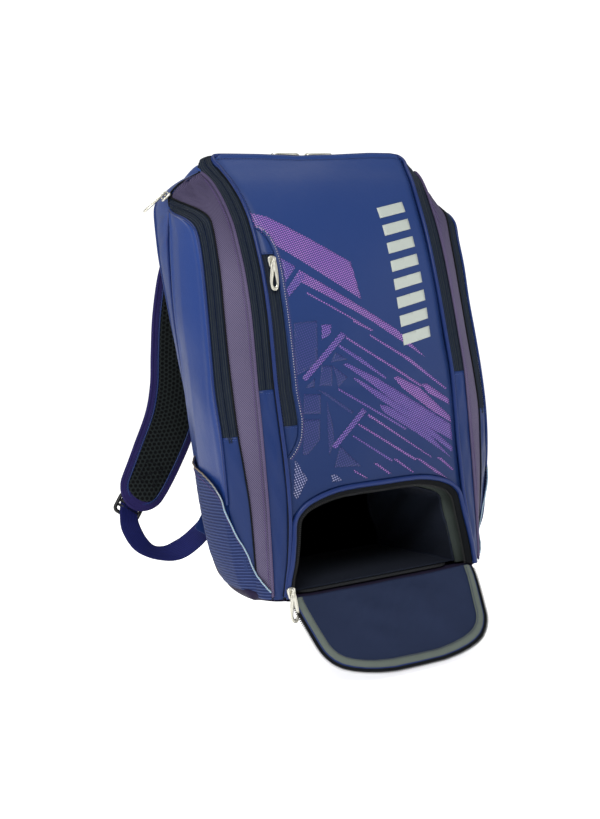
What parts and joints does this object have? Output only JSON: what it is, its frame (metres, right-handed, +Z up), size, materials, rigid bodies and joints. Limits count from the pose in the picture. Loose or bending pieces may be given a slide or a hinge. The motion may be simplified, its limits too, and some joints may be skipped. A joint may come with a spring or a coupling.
{
  "type": "racket backpack",
  "caption": "Upright racket backpack with zip front lid, side racket compartments and an open ventilated shoe compartment with a drop-down flap.",
  "frame": {"origin": "centre of the base, on the plane it stands on", "axes": "+Z up, -Y towards the front panel and shoe flap, +X towards the viewer's right facing the front"},
  "size_m": [0.4374, 0.3421, 0.5606],
  "materials": {
    "navy_pu": "soft sheen",
    "blue_pu": "gloss",
    "twill": "matte",
    "zip_tape": "matte",
    "zip_metal": "satin",
    "lining": "matte",
    "foam_pad": "mesh",
    "stiffener": "matte",
    "webbing": "matte",
    "black_plastic": "satin",
    "stretch": "matte",
    "reflective": "reflective"
  },
  "bodies": {
    "bag": {"back_board": "stiffener", "back_pad_left": "foam_pad", "back_pad_right": "foam_pad", "back_panel": "navy_pu", "base_board": "stiffener", "base_cover": "navy_pu", "corner_strip_left": "blue_pu", "corner_strip_right": "blue_pu", "front_panel_lower": "navy_pu", "front_piping_lower": "blue_pu", "gusset_left": "twill", "gusset_right": "twill", "laptop_sleeve": "lining", "lumbar_pad": "foam_pad", "main_zip_tab_left": "blue_pu", "main_zip_tab_right": "blue_pu", "main_zip_tape_left": "zip_tape", "main_zip_tape_right": "zip_tape", "main_zip_tape_top": "zip_tape", "roof_panel": "twill", "shoe_arch_piping": "blue_pu", "shoe_tunnel": "lining", "side_pocket_left": "stretch", "side_pocket_right": "stretch", "side_shell_left": "blue_pu", "side_shell_right": "blue_pu", "side_trim_left": "reflective", "side_trim_right": "reflective", "side_zip_tab_left": "blue_pu", "side_zip_tab_right": "blue_pu", "side_zip_tape_left": "zip_tape", "side_zip_tape_right": "zip_tape", "strap_anchor_left": "webbing", "strap_anchor_right": "webbing", "strap_yoke": "navy_pu"},
    "front_lid": {"front_panel_upper": "navy_pu", "front_piping_upper": "blue_pu", "pocket_zip_tape": "zip_tape"},
    "shoe_flap": {"shoe_flap": "navy_pu", "shoe_flap_zip_tape": "zip_tape"},
    "strap_left": {"strap_pad_left": "foam_pad", "strap_webbing_left": "webbing", "ladder_lock_left": "black_plastic"},
    "strap_right": {"strap_pad_right": "foam_pad", "strap_webbing_right": "webbing", "ladder_lock_right": "black_plastic"},
    "haul_loop": {"haul_loop": "webbing"},
    "pocket_slider": {"pocket_slider": "zip_metal"},
    "pocket_pull": {"pocket_pull": "zip_metal"},
    "main_left_slider": {"main_left_slider": "zip_metal"},
    "main_left_pull": {"main_left_pull": "zip_metal"},
    "main_right_slider": {"main_right_slider": "zip_metal"},
    "main_right_pull": {"main_right_pull": "zip_metal"},
    "side_left_slider": {"side_left_slider": "zip_metal"},
    "side_left_pull": {"side_left_pull": "zip_metal"},
    "side_right_slider": {"side_right_slider": "zip_metal"},
    "side_right_pull": {"side_right_pull": "zip_metal"},
    "shoe_slider": {"shoe_slider": "zip_metal"},
    "shoe_pull": {"shoe_pull": "zip_metal"}
  },
  "joints": [
    {"name": "front_lid_fold", "type": "hinge", "parent": "bag", "child": "front_lid", "pos_m": [0, -0.134, 0.221], "axis": [1, 0, 0], "range_deg": [0, 60]},
    {"name": "shoe_flap_fold", "type": "hinge", "parent": "bag", "child": "shoe_flap", "pos_m": [0, -0.126, 0.0018], "axis": [1, 0, 0], "range_deg": [-143, 0]},
    {"name": "haul_loop_fold", "type": "hinge", "parent": "bag", "child": "haul_loop", "pos_m": [0, 0.074, 0.449], "axis": [1, 0, 0], "range_deg": [-80, 0]},
    {"name": "strap_left_swing", "type": "hinge", "parent": "bag", "child": "strap_left", "pos_m": [-0.066, 0.087, 0.426], "axis": [-0.1462, -0.0173, -0.9891], "range_deg": [-4, 32]},
    {"name": "strap_right_swing", "type": "hinge", "parent": "bag", "child": "strap_right", "pos_m": [0.066, 0.087, 0.426], "axis": [-0.1462, 0.0173, 0.9891], "range_deg": [-4, 32]},
    {"name": "pocket_slide", "type": "slide", "parent": "front_lid", "child": "pocket_slider", "axis": [0, -0.1961, -0.9806], "range_m": [0, 0.08]},
    {"name": "pocket_pull_swing", "type": "hinge", "parent": "pocket_slider", "child": "pocket_pull", "pos_m": [-0.0965, -0.11873, 0.352], "axis": [-0.9987, 0.009, 0.0499], "range_deg": [0, 110]},
    {"name": "main_left_slide", "type": "slide", "parent": "bag", "child": "main_left_slider", "axis": [-1, 0, 0], "range_m": [0, 0.07]},
    {"name": "main_left_pull_swing", "type": "hinge", "parent": "main_left_slider", "child": "main_left_pull", "pos_m": [-0.015, -0.0323, 0.4808], "axis": [0, 1, 0], "range_deg": [0, 110]},
    {"name": "main_right_slide", "type": "slide", "parent": "bag", "child": "main_right_slider", "axis": [1, 0, 0], "range_m": [0, 0.07]},
    {"name": "main_right_pull_swing", "type": "hinge", "parent": "main_right_slider", "child": "main_right_pull", "pos_m": [0.001, -0.0323, 0.4808], "axis": [0, -1, 0], "range_deg": [0, 110]},
    {"name": "side_left_slide", "type": "slide", "parent": "bag", "child": "side_left_slider", "axis": [0.079, -0.9276, -0.3652], "range_m": [0, 0.045]},
    {"name": "side_left_pull_swing", "type": "hinge", "parent": "side_left_slider", "child": "side_left_pull", "pos_m": [-0.1655, -0.004, 0.4398], "axis": [0.0874, 0.9946, 0.0565], "range_deg": [0, 110]},
    {"name": "side_right_slide", "type": "slide", "parent": "bag", "child": "side_right_slider", "axis": [-0.079, -0.9276, -0.3652], "range_m": [0, 0.045]},
    {"name": "side_right_pull_swing", "type": "hinge", "parent": "side_right_slider", "child": "side_right_pull", "pos_m": [0.1655, -0.004, 0.4398], "axis": [0.0874, -0.9946, -0.0565], "range_deg": [0, 110]},
    {"name": "shoe_slide", "type": "slide", "parent": "bag", "child": "shoe_slider", "axis": [0, 0, 1], "range_m": [0, 0.06]},
    {"name": "shoe_pull_swing", "type": "hinge", "parent": "shoe_slider", "child": "shoe_pull", "pos_m": [-0.116, -0.1394, 0.0115], "axis": [-1, 0, 0], "range_deg": [0, 110]}
  ]
}
